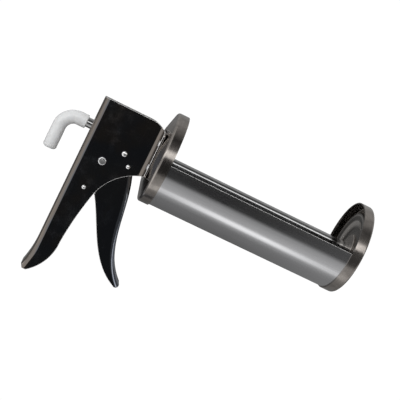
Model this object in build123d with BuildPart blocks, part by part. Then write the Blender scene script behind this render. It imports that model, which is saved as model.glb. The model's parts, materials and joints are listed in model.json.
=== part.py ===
"""Half-barrel ratchet-rod caulking gun: cradle, caps, handle frame, trigger, pawls, rod and piston.

Frame: +X forwards along the barrel axis, +Z up, the handle hangs down. The origin is the centre of the
nozzle hole on the inner face of the front cap, where the cartridge seats.
"""
from build123d import *
from math import atan2, ceil, cos, degrees, hypot, radians, sin, sqrt
import os

# ---- clearances ---------------------------------------------------------------------------------------
running_gap = 0.05          # radial, a pin or rod turning or sliding in its bore
free_gap = 0.3              # radial, a part passing a hole that doesn't guide it
side_gap = 0.4              # each side, trigger cheeks inside the handle frame
pawl_gap = 0.3              # pawl tip below the crests of the ratchet teeth
thrust_gap = 0.1            # axial play of the rod's end in the piston
bush_end_gap = 0.1          # each end of the trigger's bush inside the handle frame
cut_over = 6.0              # how far a cut runs past the sheet that it opens

# ---- caps and cradle ----------------------------------------------------------------------------------
pocket_length = 180.0       # between the seats of the two caps
cap_outer_radius = 38.2
cap_sheet = 1.0
cap_wall_depth = 8.5        # straight part of the cap's rim
cap_dish = 4.0              # how far the flat middle stands out from the rim's corner
plateau_margin = 0.8        # flat left round the flange rivets' heads
cap_bend = 1.5              # bend radius on the middle of the sheet
nozzle_hole_radius = 9.5
cradle_wall = 0.9
cradle_inset = 2.6          # from the rim's corner to the end of the cradle

# ---- rod and hook -------------------------------------------------------------------------------------
rod_radius = 4.0
spigot_radius = 3.0
spigot_proud = 0.4          # spigot's end, ahead of the retainer
tooth_pitch = 3.0
tooth_depth = 1.3
plain_nose = 12.0           # rod left without teeth behind the piston
hook_reach = 22.5           # from the back of the handle to the hook's straight leg
hook_drop = 29.0            # leg's end below the rod's axis
hook_bend = 12.0
sleeve_radius = 5.6
sleeve_start = 4.2          # behind the back of the handle
sleeve_end_wall = 2.0
sleeve_end_round = 2.8

# ---- piston -------------------------------------------------------------------------------------------
piston_gap = 6.0            # between the piston and the cradle's wall
piston_rim_width = 3.3
piston_floor_radius = 18.0
piston_sheet = 1.5
piston_dish = 3.0
piston_stand_off = 3.2      # from the nozzle seat to the piston's front face, rod pushed right in
hub_radius = 12.3
hub_thickness = 1.5
retainer_radius = 5.2
retainer_thickness = 2.0
retainer_chamfer = 0.6
hub_chamfer = 0.5
piston_stop_gap = 0.7       # left between the piston's rim and the rear cap, rod pulled right out

# ---- guide bush ---------------------------------------------------------------------------------------
bush_body_radius = 6.0
bush_flange_radius = 8.0
bush_flange_thickness = 1.2
bush_tail = 3.0

# ---- handle frame -------------------------------------------------------------------------------------
frame_sheet = 1.6
frame_width = 26.0
frame_depth = 53.8          # back of the handle to the rear cap
frame_top = 24.5            # above the rod's axis
frame_fold = 4.5            # outer radius of the two folds along the back
frame_corner = 13.0         # length of the arc that rounds off the top edge's front end
frame_shoulder = 19.75      # where that arc ends, above the rod's axis
flange_bottom = -18.4
flange_width = 11.0         # each flange, out from the side of the handle
flange_bend = 3.4           # inner radius of the flange's bend
flange_lead = 1.0           # straight sheet behind the bend
flange_corner = 3.0
grip_length = 124.0         # handle tip below the rod's axis
flare_start = -98.0
tip_flare = 3.2             # how far the handle's tip sweeps back
tip_rise = 3.0              # rear corner of the tip above its lowest edge
tip_lead = 2.0              # sloping corner between them

# ---- front edge of the handle frame: x behind the rear cap, z from the rod's axis ------------------------
throat_middle_at = (-15.6, -26.3)
throat_end_at = (-29.5, -46.8)
grip_middle_at = (-34.0, -69.1)
grip_waist_at = (-36.7, -92.9)
tip_middle_at = (-41.6, -112.6)
tip_front_at = (-51.7, -grip_length)

# ---- rivets and pins, all across the handle: x behind the rear cap, z from the rod's axis ----------------
pivot_at = (-34.75, -21.3)
pivot_radius = 2.6
pivot_head_radius = 3.2
pivot_bore_radius = 1.5
pivot_head = 1.3
stop_pawl_at = (-21.55, -8.9)
stop_pawl_pin_radius = 1.6
stop_pawl_head_radius = 2.2
stop_at = (-14.75, -16.8)
stop_pin_radius = 1.3
stop_head_radius = 1.7
stop_spacer_radius = 1.9
grip_spacer_at = (-38.75, -45.7)
grip_spacer_radius = 2.2
small_head = 0.9
head_rounding = 0.7         # rounded share of a rivet head's height
flange_rivet_radius = 1.5
flange_rivet_head_radius = 2.4
flange_rivet_slope = 25.0   # degrees, side of a flange rivet's head
flange_rivet_out = 6.0      # from the side of the handle
flange_rivet_z = (10.3, -9.7)

# ---- trigger ------------------------------------------------------------------------------------------
trigger_sheet = 1.4
trigger_fold = 4.0
trigger_travel = 17.0       # degrees
trigger_boss_radius = 7.5
trigger_bush_radius = 4.2
ear_radius = 4.0
ear_offset = (-1.55, 10.5)  # drive pawl's pin from the trigger's pivot
notch_gap = 0.4             # around the grip spacer in the trigger's rear edge
stop_contact_gap = 0.2      # trigger's shoulder below the stop
shoulder_at = (-9.6, -18.75)    # x of the shoulder's front end and rear end, behind the rear cap
trigger_front_at = [(-2.4, -45.8), (3.8, -77.1), (10.9, -93.5), (20.2, -105.1)]
trigger_tip_at = (18.9, -107.6)
trigger_rear_at = [(-29.5, -47.0), (-14.6, -74.0), (-1.4, -94.3), (15.2, -107.4)]
web_lean = 1.1              # web's thickness along X, over its sheet, because it leans

# ---- pawls and springs --------------------------------------------------------------------------------
pawl_thickness = 6.0
pawl_pin_radius = 1.5
pawl_boss_radius = 3.0
pawl_tip_height = 2.4
drive_pawl_reach = 7.5
stop_pawl_reach = 7.0
pawl_spacer_radius = 2.3
pawl_side_gap = 0.1
spring_turns = 3
coil_spread = 1.08          # pitch of a coil over its wire
return_wire = 1.4
return_coil_radius = 5.5
return_coil_inset = 2.0     # first turn, from the inside of the trigger's cheek
return_legs = ((254.6, 25.0), (335.0, 33.4))
pawl_wire = 0.7
pawl_coil_radius = 3.1
pawl_coil_out = 4.0         # first turn, from the side of the pawl
stop_legs = ((300.0, 7.7), (20.0, 4.0))
drive_legs = ((270.0, 3.0), (20.0, 5.0))

# ---- places worked out from the sizes -----------------------------------------------------------------
half_width = frame_width / 2
flange_reach = half_width + flange_width
flange_rivet_y = half_width + flange_rivet_out
flange_rivet_circle = max(hypot(flange_rivet_y, z) for z in flange_rivet_z)
plateau_radius = flange_rivet_circle + flange_rivet_head_radius + plateau_margin
seat_x = 0.0
rear_seat_x = seat_x - pocket_length
frame_face_x = rear_seat_x - cap_sheet
spine_x = frame_face_x - frame_depth
spine_inside_x = spine_x + frame_sheet
bend_x = frame_face_x - flange_bend - frame_sheet - flange_lead
flare_drop = flare_start + grip_length - tip_rise
flare_radius = (flare_drop**2 + tip_flare**2) / (2 * tip_flare)
front_corner_x = seat_x + cap_sheet - cap_dish
rear_corner_x = rear_seat_x - cap_sheet + cap_dish
cradle_outer_radius = cap_outer_radius - cap_sheet
cradle_inner_radius = cradle_outer_radius - cradle_wall
piston_radius = cradle_inner_radius - piston_gap
half_inside = half_width - frame_sheet
half_trigger = half_inside - side_gap
half_trigger_inside = half_trigger - trigger_sheet
half_pawl = pawl_thickness / 2
hook_x = spine_x - hook_reach
sleeve_x = spine_x - sleeve_start
piston_front_x = seat_x - piston_stand_off
piston_floor_x = piston_front_x - piston_sheet
piston_rim_front_x = piston_front_x - piston_dish
piston_rim_x = piston_rim_front_x - piston_sheet
hub_rear_x = piston_floor_x - hub_thickness
shoulder_x = hub_rear_x - thrust_gap
retainer_rear_x = piston_front_x + thrust_gap
retainer_front_x = retainer_rear_x + retainer_thickness
pawl_crest_z = -rod_radius - pawl_gap
cap_slope = cap_dish / (cap_outer_radius - cap_sheet - plateau_radius)
rear_slope_x = rear_seat_x + cap_slope * max(piston_radius - plateau_radius, 0)
rod_travel = piston_rim_x - rear_slope_x - piston_stop_gap


def across(place):
    """A place on the handle, given behind the rear cap and above the rod's axis, as (x, z)."""
    return (frame_face_x + place[0], place[1])


throat_end = across(throat_end_at)
grip_waist = across(grip_waist_at)
tip_front = across(tip_front_at)
tip_rear = (spine_x - tip_flare, tip_rise - grip_length)
tip_low = (tip_rear[0] + tip_lead, -grip_length)
pivot = across(pivot_at)
stop_pawl_pin = across(stop_pawl_at)
stop_pin = across(stop_at)
grip_spacer_pin = across(grip_spacer_at)
drive_pawl_pin_at = (pivot[0] + ear_offset[0], pivot[1] + ear_offset[1])
drive_tip_x = drive_pawl_pin_at[0] + drive_pawl_reach
stop_tip_x = stop_pawl_pin[0] + stop_pawl_reach


def finish(part, name):
    """Name the piece and write its STEP file."""
    part.label = name
    export_step(part, f"parts/{name}.step")


def across_plane(place, y=0.0):
    """A plane facing +Y at a place on the handle."""
    return Plane(origin=(place[0], y, place[1]), x_dir=(1, 0, 0), z_dir=(0, 1, 0))


def cross_rivet(place, shank_radius, head_radius, head_height, bore_radius=0.0):
    """A rivet across the handle frame, its heads on the outer faces of both plates."""
    with BuildPart() as rivet:
        with BuildSketch(across_plane(place)):
            Circle(shank_radius)
        extrude(amount=half_width, both=True)
        for side in (1, -1):
            with BuildSketch(across_plane(place, side * half_width)):
                Circle(head_radius)
            extrude(amount=side * head_height)
        rims = rivet.edges().filter_by(GeomType.CIRCLE).sort_by(Axis.Y)
        fillet([rims[0], rims[-1]], head_height * head_rounding)
        if bore_radius:
            with BuildSketch(across_plane(place)):
                Circle(bore_radius)
            extrude(amount=frame_width, both=True, mode=Mode.SUBTRACT)
    return rivet.part


def cross_tube(place, outer_radius, bore_radius, start_y, end_y):
    """A plain tube across the handle, from start_y to end_y."""
    with BuildPart() as tube:
        with BuildSketch(across_plane(place, start_y)):
            Circle(outer_radius)
            Circle(bore_radius, mode=Mode.SUBTRACT)
        extrude(amount=end_y - start_y)
    return tube.part


def cap(middle_x, corner_x, outwards, hole_radius):
    """A pressed cap: straight rim, sloping ring and a flat middle with a round hole."""
    middle = cap_outer_radius - cap_sheet / 2
    face_x = middle_x + outwards * cap_sheet / 2
    mouth_x = corner_x - outwards * cap_wall_depth
    with BuildPart() as pressing:
        with BuildSketch(Plane.XZ):
            with BuildLine():
                FilletPolyline(
                    (mouth_x, middle),
                    (corner_x, middle),
                    (face_x, plateau_radius),
                    (face_x, hole_radius),
                    radius=cap_bend,
                )
            trace(line_width=cap_sheet)
        revolve(axis=Axis.X)
    return pressing.part


def pawl(pin_at, tip_x, bore_radius):
    """A pawl on its pin, leaning forwards to a tip just under the tooth crests."""
    with BuildPart() as lever:
        with BuildSketch(Plane.XZ):
            with Locations(pin_at):
                Circle(pawl_boss_radius)
            with Locations((tip_x - pawl_tip_height / 2, pawl_crest_z - pawl_tip_height / 2)):
                Rectangle(pawl_tip_height, pawl_tip_height)
            make_hull()
            with Locations(pin_at):
                Circle(bore_radius, mode=Mode.SUBTRACT)
        extrude(amount=half_pawl, both=True)
    return lever.part


def torsion_spring(place, y, coil_radius, wire, legs):
    """A coil round a cross pin with two straight legs; each leg is (direction in degrees, length)."""
    first_leg, second_leg = legs
    start = radians(first_leg[0] + 180)
    sweep_angle = (second_leg[0] - first_leg[0] - 180) % 360
    turns = spring_turns + sweep_angle / 360
    coil_plane = Plane(
        origin=(place[0], y, place[1]),
        x_dir=(sin(start), 0, -cos(start)),
        z_dir=(0, -1, 0),
    )
    pitch = wire * coil_spread
    with BuildPart() as spring:
        with BuildLine() as path:
            coil = Helix(pitch=pitch, height=pitch * turns, radius=coil_radius)
            Line(coil @ 0 - (coil % 0) * first_leg[1], coil @ 0)
            Line(coil @ 1, coil @ 1 + (coil % 1) * second_leg[1])
        with BuildSketch(Plane(origin=path.line @ 0, z_dir=path.line % 0)):
            Circle(wire / 2)
        sweep(path=path.line)
    return spring.part.moved(coil_plane.location)


os.makedirs("parts", exist_ok=True)

# ---- cradle -------------------------------------------------------------------------------------------
cradle_start_x = rear_corner_x + cradle_inset
cradle_end_x = front_corner_x - cradle_inset
with BuildPart() as cradle:
    with BuildSketch(Plane.YZ.offset(cradle_start_x)):
        Circle(cradle_outer_radius)
        Circle(cradle_inner_radius, mode=Mode.SUBTRACT)
        Rectangle(
            2 * cradle_outer_radius,
            cradle_outer_radius,
            align=(Align.CENTER, Align.MIN),
            mode=Mode.SUBTRACT,
        )
    extrude(amount=cradle_end_x - cradle_start_x)
finish(cradle.part, "cradle")

# ---- caps ---------------------------------------------------------------------------------------------
finish(cap(seat_x, front_corner_x, 1, nozzle_hole_radius), "front_cap")

with BuildPart() as rear_cap:
    add(cap(rear_seat_x, rear_corner_x, -1, bush_body_radius))
    with BuildSketch(Plane.YZ.offset(frame_face_x)):
        with Locations(*[(y, z) for y in (-flange_rivet_y, flange_rivet_y) for z in flange_rivet_z]):
            Circle(flange_rivet_radius + running_gap)
    extrude(amount=cap_sheet, mode=Mode.SUBTRACT)
finish(rear_cap.part, "rear_cap")

with BuildPart() as rod_guide_bush:
    with BuildSketch(Plane.YZ.offset(frame_face_x - bush_tail)):
        Circle(bush_body_radius)
    extrude(amount=bush_tail + cap_sheet)
    with BuildSketch(Plane.YZ.offset(rear_seat_x)):
        Circle(bush_flange_radius)
    extrude(amount=bush_flange_thickness)
    with BuildSketch(Plane.YZ.offset(frame_face_x - bush_tail)):
        Circle(rod_radius + running_gap)
    extrude(amount=bush_tail + cap_sheet + bush_flange_thickness, mode=Mode.SUBTRACT)
finish(rod_guide_bush.part, "rod_guide_bush")

# ---- handle frame -------------------------------------------------------------------------------------
with BuildSketch(Plane.XZ.offset(-half_width)) as frame_side:
    with BuildLine():
        Line((spine_x, frame_top), (frame_face_x - frame_corner, frame_top))
        TangentArc(
            (frame_face_x - frame_corner, frame_top),
            (frame_face_x, frame_shoulder),
            tangent=(1, 0),
        )
        Line((frame_face_x, frame_shoulder), (frame_face_x, flange_bottom))
        ThreePointArc((frame_face_x, flange_bottom), across(throat_middle_at), throat_end)
        ThreePointArc(throat_end, across(grip_middle_at), grip_waist)
        ThreePointArc(grip_waist, across(tip_middle_at), tip_front)
        Line(tip_front, tip_low)
        Line(tip_low, tip_rear)
        TangentArc((spine_x, flare_start), tip_rear, tangent=(0, -1))
        Line((spine_x, flare_start), (spine_x, frame_top))
    make_face()

core_top = frame_top + cut_over
core_bottom = -grip_length - cut_over
core_front_x = frame_face_x + cut_over
core_radius = flare_radius + frame_sheet
core_sweep = core_radius - sqrt(core_radius**2 - (flare_start - core_bottom) ** 2)
with BuildPart() as channel_core:
    with BuildSketch(Plane.XZ.offset(-half_inside)):
        with BuildLine():
            Line((spine_inside_x, core_top), (spine_inside_x, flare_start))
            TangentArc(
                (spine_inside_x, flare_start),
                (spine_inside_x - core_sweep, core_bottom),
                tangent=(0, -1),
            )
            Line((spine_inside_x - core_sweep, core_bottom), (core_front_x, core_bottom))
            Line((core_front_x, core_bottom), (core_front_x, core_top))
            Line((core_front_x, core_top), (spine_inside_x, core_top))
        make_face()
    extrude(amount=2 * half_inside)
    upright = channel_core.edges().filter_by(Axis.Y, reverse=True).sort_by(Axis.X)
    fillet(upright[:4], frame_fold - frame_sheet)

trim_y = flange_reach + cut_over
wide_side = frame_side.sketch.moved(Location((0, trim_y - half_width, 0)))
bend_low = throat_middle_at[1]
with BuildPart() as flanges:
    for side in (1, -1):
        with BuildSketch(Plane.XY.offset(bend_low)):
            with BuildLine():
                middle_y = side * (half_width - frame_sheet / 2)
                FilletPolyline(
                    (bend_x, middle_y),
                    (frame_face_x - frame_sheet / 2, middle_y),
                    (frame_face_x - frame_sheet / 2, side * flange_reach),
                    radius=flange_bend + frame_sheet / 2,
                )
            trace(line_width=frame_sheet)
        extrude(amount=frame_top - bend_low)
    extrude(to_extrude=wide_side, amount=2 * trim_y, mode=Mode.INTERSECT)
    with BuildSketch(Plane.YZ.offset(bend_x)):
        with Locations((0, (frame_shoulder + flange_bottom) / 2)):
            RectangleRounded(2 * flange_reach, frame_shoulder - flange_bottom, flange_corner)
        with Locations((0, bend_low)):
            Rectangle(
                frame_width + 2 * flange_bend,
                frame_top - bend_low,
                align=(Align.CENTER, Align.MIN),
            )
    extrude(amount=frame_face_x - bend_x, mode=Mode.INTERSECT)

with BuildPart() as handle_frame:
    extrude(to_extrude=frame_side.sketch, amount=frame_width)
    upright = handle_frame.edges().filter_by(Axis.Y, reverse=True)
    back = upright.filter_by_position(Axis.Z, tip_rear[1], core_top).sort_by(Axis.X)
    fillet(back[:4], frame_fold)
    add(channel_core.part, mode=Mode.SUBTRACT)
    with BuildSketch(Plane.XY.offset(bend_low)):
        with Locations((frame_face_x, 0)):
            Rectangle(frame_face_x - bend_x, frame_width, align=(Align.MAX, Align.CENTER))
    extrude(amount=frame_top - bend_low, mode=Mode.SUBTRACT)
    add(flanges.part)
    for place, radius in (
        (pivot, pivot_radius),
        (stop_pawl_pin, stop_pawl_pin_radius),
        (stop_pin, stop_pin_radius),
        (grip_spacer_pin, stop_pin_radius),
    ):
        with BuildSketch(across_plane(place)):
            Circle(radius)
        extrude(amount=frame_width, both=True, mode=Mode.SUBTRACT)
    with BuildSketch(Plane.YZ.offset(spine_x)):
        Circle(rod_radius + free_gap)
    extrude(amount=frame_sheet, mode=Mode.SUBTRACT)
    with BuildSketch(Plane.YZ.offset(frame_face_x - frame_sheet)):
        with Locations(*[(y, z) for y in (-flange_rivet_y, flange_rivet_y) for z in flange_rivet_z]):
            Circle(flange_rivet_radius + running_gap)
    extrude(amount=frame_sheet, mode=Mode.SUBTRACT)
finish(handle_frame.part, "handle_frame")

with BuildPart() as flange_rivets:
    for y in (-flange_rivet_y, flange_rivet_y):
        for z in flange_rivet_z:
            with BuildSketch(Plane.YZ.offset(frame_face_x - frame_sheet)):
                with Locations((y, z)):
                    Circle(flange_rivet_radius)
            extrude(amount=frame_sheet + cap_sheet)
            with BuildSketch(Plane.YZ.offset(frame_face_x - frame_sheet)):
                with Locations((y, z)):
                    Circle(flange_rivet_head_radius)
            extrude(amount=-small_head, taper=flange_rivet_slope)
            with BuildSketch(Plane.YZ.offset(rear_seat_x)):
                with Locations((y, z)):
                    Circle(flange_rivet_head_radius)
            extrude(amount=small_head, taper=flange_rivet_slope)
finish(flange_rivets.part, "flange_rivets")

# ---- rivets and spacers across the handle -----------------------------------------------------------------
finish(
    cross_rivet(pivot, pivot_radius, pivot_head_radius, pivot_head, pivot_bore_radius),
    "trigger_pivot_rivet",
)
finish(cross_rivet(stop_pawl_pin, stop_pawl_pin_radius, stop_pawl_head_radius, small_head), "stop_pawl_rivet")
finish(cross_rivet(stop_pin, stop_pin_radius, stop_head_radius, small_head), "trigger_stop_rivet")
finish(cross_rivet(grip_spacer_pin, stop_pin_radius, stop_head_radius, small_head), "grip_spacer_rivet")
finish(
    cross_tube(stop_pin, stop_spacer_radius, stop_pin_radius, -half_inside, half_inside),
    "trigger_stop_spacer",
)
finish(
    cross_tube(grip_spacer_pin, grip_spacer_radius, stop_pin_radius, -half_inside, half_inside),
    "grip_spacer",
)
with BuildPart() as stop_pawl_spacers:
    for start_y in (-half_inside, half_pawl + pawl_side_gap):
        length = half_inside - half_pawl - pawl_side_gap
        add(cross_tube(stop_pawl_pin, pawl_spacer_radius, stop_pawl_pin_radius, start_y, start_y + length))
finish(stop_pawl_spacers.part, "stop_pawl_spacers")

# ---- trigger ------------------------------------------------------------------------------------------
shoulder_z = stop_pin[1] - stop_spacer_radius - stop_contact_gap
shoulder_front, shoulder_rear = [across((x, shoulder_z)) for x in shoulder_at]
trigger_front = [shoulder_front] + [across(place) for place in trigger_front_at]
trigger_rear = [across(place) for place in trigger_rear_at]
web_inside = [(x - trigger_sheet * web_lean, z) for x, z in trigger_front]
boss_rear = (pivot[0] - trigger_boss_radius, pivot[1])
boss_top = (pivot[0], pivot[1] + trigger_boss_radius)
with BuildSketch(Plane.XZ.offset(-half_trigger)) as trigger_side:
    with BuildLine():
        Spline(*trigger_front)
        ThreePointArc(trigger_front[-1], across(trigger_tip_at), trigger_rear[-1])
        Spline(*reversed(trigger_rear))
        Polyline(trigger_rear[0], boss_rear, boss_top, shoulder_rear, shoulder_front)
    make_face()
    with Locations(pivot):
        Circle(trigger_boss_radius)

with BuildSketch(Plane.XZ.offset(-half_trigger)) as trigger_ears:
    with Locations(pivot):
        Circle(trigger_boss_radius)
    with Locations(drive_pawl_pin_at):
        Circle(ear_radius)
    make_hull()

web_top = (web_inside[0][0], 0)
web_bottom = (web_inside[-1][0] + cut_over, web_inside[-1][1] - cut_over)
behind_x = spine_inside_x
with BuildPart() as trigger_core:
    with BuildSketch(Plane.XZ.offset(-half_trigger_inside)):
        with BuildLine():
            Line(web_top, web_inside[0])
            Spline(*web_inside)
            Polyline(web_inside[-1], web_bottom, (behind_x, web_bottom[1]), (behind_x, 0), web_top)
        make_face()
    extrude(amount=2 * half_trigger_inside)

pivot_to_spacer = (grip_spacer_pin[0] - pivot[0], grip_spacer_pin[1] - pivot[1])
notch_start = degrees(atan2(pivot_to_spacer[1], pivot_to_spacer[0]))
with BuildPart() as trigger:
    extrude(to_extrude=trigger_side.sketch, amount=2 * half_trigger)
    extrude(to_extrude=trigger_ears.sketch, amount=2 * half_trigger)
    curved = trigger.edges().filter_by(GeomType.BSPLINE).sort_by(Axis.X)
    fillet(curved[-2:], trigger_fold)
    add(trigger_core.part, mode=Mode.SUBTRACT)
    with BuildSketch(Plane.XZ):
        with BuildLine(mode=Mode.PRIVATE):
            notch = CenterArc(pivot, hypot(*pivot_to_spacer), notch_start, trigger_travel)
        SlotArc(notch, 2 * (grip_spacer_radius + notch_gap))
        with Locations(pivot):
            Circle(trigger_bush_radius)
        with Locations(drive_pawl_pin_at):
            Circle(pawl_pin_radius)
    extrude(amount=frame_width, both=True, mode=Mode.SUBTRACT)
finish(trigger.part, "trigger")

half_bush = half_inside - bush_end_gap
finish(
    cross_tube(pivot, trigger_bush_radius, pivot_radius + running_gap, -half_bush, half_bush),
    "trigger_bush",
)
with BuildPart() as drive_pawl_pin:
    with BuildSketch(across_plane(drive_pawl_pin_at)):
        Circle(pawl_pin_radius)
    extrude(amount=half_trigger, both=True)
finish(drive_pawl_pin.part, "drive_pawl_pin")
with BuildPart() as drive_pawl_spacers:
    for start_y in (-half_trigger_inside, half_pawl + pawl_side_gap):
        length = half_trigger_inside - half_pawl - pawl_side_gap
        add(cross_tube(drive_pawl_pin_at, pawl_spacer_radius, pawl_pin_radius, start_y, start_y + length))
finish(drive_pawl_spacers.part, "drive_pawl_spacers")

# ---- pawls --------------------------------------------------------------------------------------------
finish(pawl(drive_pawl_pin_at, drive_tip_x, pawl_pin_radius + running_gap), "drive_pawl")
finish(pawl(stop_pawl_pin, stop_tip_x, stop_pawl_pin_radius + running_gap), "stop_pawl")

# ---- springs ------------------------------------------------------------------------------------------
return_y = half_trigger_inside - return_coil_inset
finish(
    torsion_spring(pivot, return_y, return_coil_radius, return_wire, return_legs),
    "trigger_return_spring",
)
pawl_y = half_pawl + pawl_coil_out
finish(
    torsion_spring(stop_pawl_pin, pawl_y, pawl_coil_radius, pawl_wire, stop_legs),
    "stop_pawl_spring",
)
finish(
    torsion_spring(drive_pawl_pin_at, pawl_y, pawl_coil_radius, pawl_wire, drive_legs),
    "drive_pawl_spring",
)

# ---- piston -------------------------------------------------------------------------------------------
rim_inner = piston_radius - piston_rim_width
with BuildPart() as piston_plate:
    with BuildSketch(Plane.XZ):
        with BuildLine():
            FilletPolyline(
                (piston_floor_x + piston_sheet / 2, spigot_radius + running_gap),
                (piston_floor_x + piston_sheet / 2, piston_floor_radius),
                (piston_rim_x + piston_sheet / 2, rim_inner),
                (piston_rim_x + piston_sheet / 2, piston_radius),
                radius=cap_bend,
            )
        trace(line_width=piston_sheet)
    revolve(axis=Axis.X)
finish(piston_plate.part, "piston_plate")

with BuildPart() as piston_hub_washer:
    with BuildSketch(Plane.YZ.offset(hub_rear_x)):
        Circle(hub_radius)
        Circle(spigot_radius + running_gap, mode=Mode.SUBTRACT)
    extrude(amount=hub_thickness)
    chamfer(piston_hub_washer.edges().group_by(Axis.X)[0].sort_by(SortBy.RADIUS)[-1], hub_chamfer)
finish(piston_hub_washer.part, "piston_hub_washer")

# ---- rod ----------------------------------------------------------------------------------------------
tooth_start_x = drive_tip_x - tooth_pitch
tooth_end_x = min(stop_tip_x + rod_travel + tooth_pitch, shoulder_x - plain_nose)
tooth_count = ceil((tooth_end_x - tooth_start_x) / tooth_pitch)
root_z = -rod_radius + tooth_depth
with BuildPart() as ratchet_rod:
    with BuildLine() as rod_line:
        FilletPolyline((shoulder_x, 0, 0), (hook_x, 0, 0), (hook_x, 0, -hook_drop), radius=hook_bend)
    with BuildSketch(Plane.YZ.offset(shoulder_x)):
        Circle(rod_radius)
    sweep(path=rod_line.line)
    with BuildSketch(Plane.YZ.offset(shoulder_x)):
        Circle(spigot_radius)
    extrude(amount=retainer_front_x - shoulder_x + spigot_proud)
    with BuildSketch(Plane.XZ):
        saw = [(tooth_start_x, -rod_radius - cut_over)]
        for i in range(tooth_count):
            saw.append((tooth_start_x + i * tooth_pitch, -rod_radius))
            saw.append((tooth_start_x + (i + 1) * tooth_pitch, root_z))
        saw.append((tooth_start_x + tooth_count * tooth_pitch, -rod_radius - cut_over))
        with BuildLine():
            Polyline(*saw, close=True)
        make_face()
    extrude(amount=rod_radius, both=True, mode=Mode.SUBTRACT)
finish(ratchet_rod.part, "ratchet_rod")

with BuildPart() as rod_retainer:
    with BuildSketch(Plane.YZ.offset(retainer_rear_x)):
        Circle(retainer_radius)
        Circle(spigot_radius, mode=Mode.SUBTRACT)
    extrude(amount=retainer_thickness)
    chamfer(rod_retainer.edges().group_by(Axis.X)[-1].sort_by(SortBy.RADIUS)[-1], retainer_chamfer)
finish(rod_retainer.part, "rod_retainer")

sleeve_drop = hook_drop + sleeve_end_wall
with BuildPart() as grip_sleeve:
    with BuildLine() as sleeve_line:
        FilletPolyline((sleeve_x, 0, 0), (hook_x, 0, 0), (hook_x, 0, -sleeve_drop), radius=hook_bend)
    with BuildSketch(Plane.YZ.offset(sleeve_x)):
        Circle(sleeve_radius)
    sweep(path=sleeve_line.line)
    fillet(grip_sleeve.edges().sort_by(Axis.Z)[0], sleeve_end_round)
    with BuildLine() as core_line:
        FilletPolyline((sleeve_x, 0, 0), (hook_x, 0, 0), (hook_x, 0, -hook_drop), radius=hook_bend)
    with BuildSketch(Plane.YZ.offset(sleeve_x)):
        Circle(rod_radius)
    sweep(path=core_line.line, mode=Mode.SUBTRACT)
finish(grip_sleeve.part, "grip_sleeve")
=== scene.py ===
"""Looks for a half-barrel ratchet-rod caulking gun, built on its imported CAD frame."""
import json
import math

import bmesh
import bpy
from mathutils import Matrix, Vector


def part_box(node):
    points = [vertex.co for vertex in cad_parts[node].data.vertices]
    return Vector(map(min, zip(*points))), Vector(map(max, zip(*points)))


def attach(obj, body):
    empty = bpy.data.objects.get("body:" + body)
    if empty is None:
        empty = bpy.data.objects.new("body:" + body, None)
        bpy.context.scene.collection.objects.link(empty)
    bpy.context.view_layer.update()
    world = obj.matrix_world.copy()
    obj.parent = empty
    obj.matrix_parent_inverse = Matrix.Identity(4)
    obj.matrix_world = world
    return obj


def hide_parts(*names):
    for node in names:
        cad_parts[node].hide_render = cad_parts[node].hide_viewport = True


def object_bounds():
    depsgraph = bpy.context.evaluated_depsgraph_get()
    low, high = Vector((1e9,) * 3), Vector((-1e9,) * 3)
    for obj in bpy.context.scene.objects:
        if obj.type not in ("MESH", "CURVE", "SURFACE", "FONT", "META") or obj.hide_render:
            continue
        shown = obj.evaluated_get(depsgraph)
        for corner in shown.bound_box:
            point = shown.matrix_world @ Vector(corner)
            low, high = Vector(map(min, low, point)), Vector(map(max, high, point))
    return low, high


bl_info = {
    "name": "Caulking gun",
    "version": (1, 0, 0),
    "blender": (4, 5, 0),
    "location": "3D View > Sidebar > Caulking gun",
    "description": "Finishes the pieces of a half-barrel caulking gun and sets up its studio",
    "category": "Object",
}

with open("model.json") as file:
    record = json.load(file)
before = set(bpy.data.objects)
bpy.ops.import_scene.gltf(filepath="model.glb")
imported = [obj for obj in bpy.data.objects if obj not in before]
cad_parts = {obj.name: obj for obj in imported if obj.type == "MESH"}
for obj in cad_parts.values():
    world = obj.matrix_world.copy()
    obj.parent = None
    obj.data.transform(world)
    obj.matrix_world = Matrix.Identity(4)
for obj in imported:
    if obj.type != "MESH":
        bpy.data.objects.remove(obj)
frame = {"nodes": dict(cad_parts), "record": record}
CAD_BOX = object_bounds()
MM = 0.001
NODES = frame["nodes"]
BODY_OF = {node: body for body, nodes in frame["record"]["behaviour"]["bodies"].items() for node in nodes}

# ---- fixed values -----------------------------------------------------------------------------------------
WELD = 1e-6                     # metres, corners nearer than this are one corner
FLAT_ANGLE = math.radians(0.5)  # faces that bend less than this are one face
EDGE_ANGLE = math.radians(42)   # sheet edges sharper than this are rounded over
SHADE_ANGLE = math.radians(50)  # edges sharper than this stay crisp
EDGE_STEPS = 2
DOME_SWEEP = 1.35               # radians, share of a quarter turn that a rivet's dome takes up
ALONG_X = (0.0, math.pi / 2, 0.0)
ALONG_Y = (math.pi / 2, 0.0, 0.0)
DARK_BELOW_Z = -2.4 * MM           # the rod is painted much darker below this, where its teeth are
DARK_BELOW_FADE = 0.6 * MM
HANDLE_DEPTH = 53.8 * MM        # back of the handle to the face of its flanges
HANDLE_FOLD = 4.0 * MM
FLANGE_FOLD = 6.0 * MM
FOLD_FADE = 1.5 * MM

# Beads pressed in the piston: share of PISTON_REACH out from the axis, and how much each stands out.
PISTON_REACH = 32.0 * MM
# Besides height, the second number paints the piston's light: high values give a painted highlight, low ones
# painted shade.
PISTON_BEADS_AND_LIGHT = (
    (0.00, 0.55),
    (0.38, 0.55),
    (0.42, 0.20),
    (0.58, 0.12),
    (0.66, 0.90),
    (0.74, 1.00),
    (0.78, 0.12),
    (0.86, 0.10),
    (0.89, 0.85),
    (0.93, 0.25),
    (1.00, 0.15),
)

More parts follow.
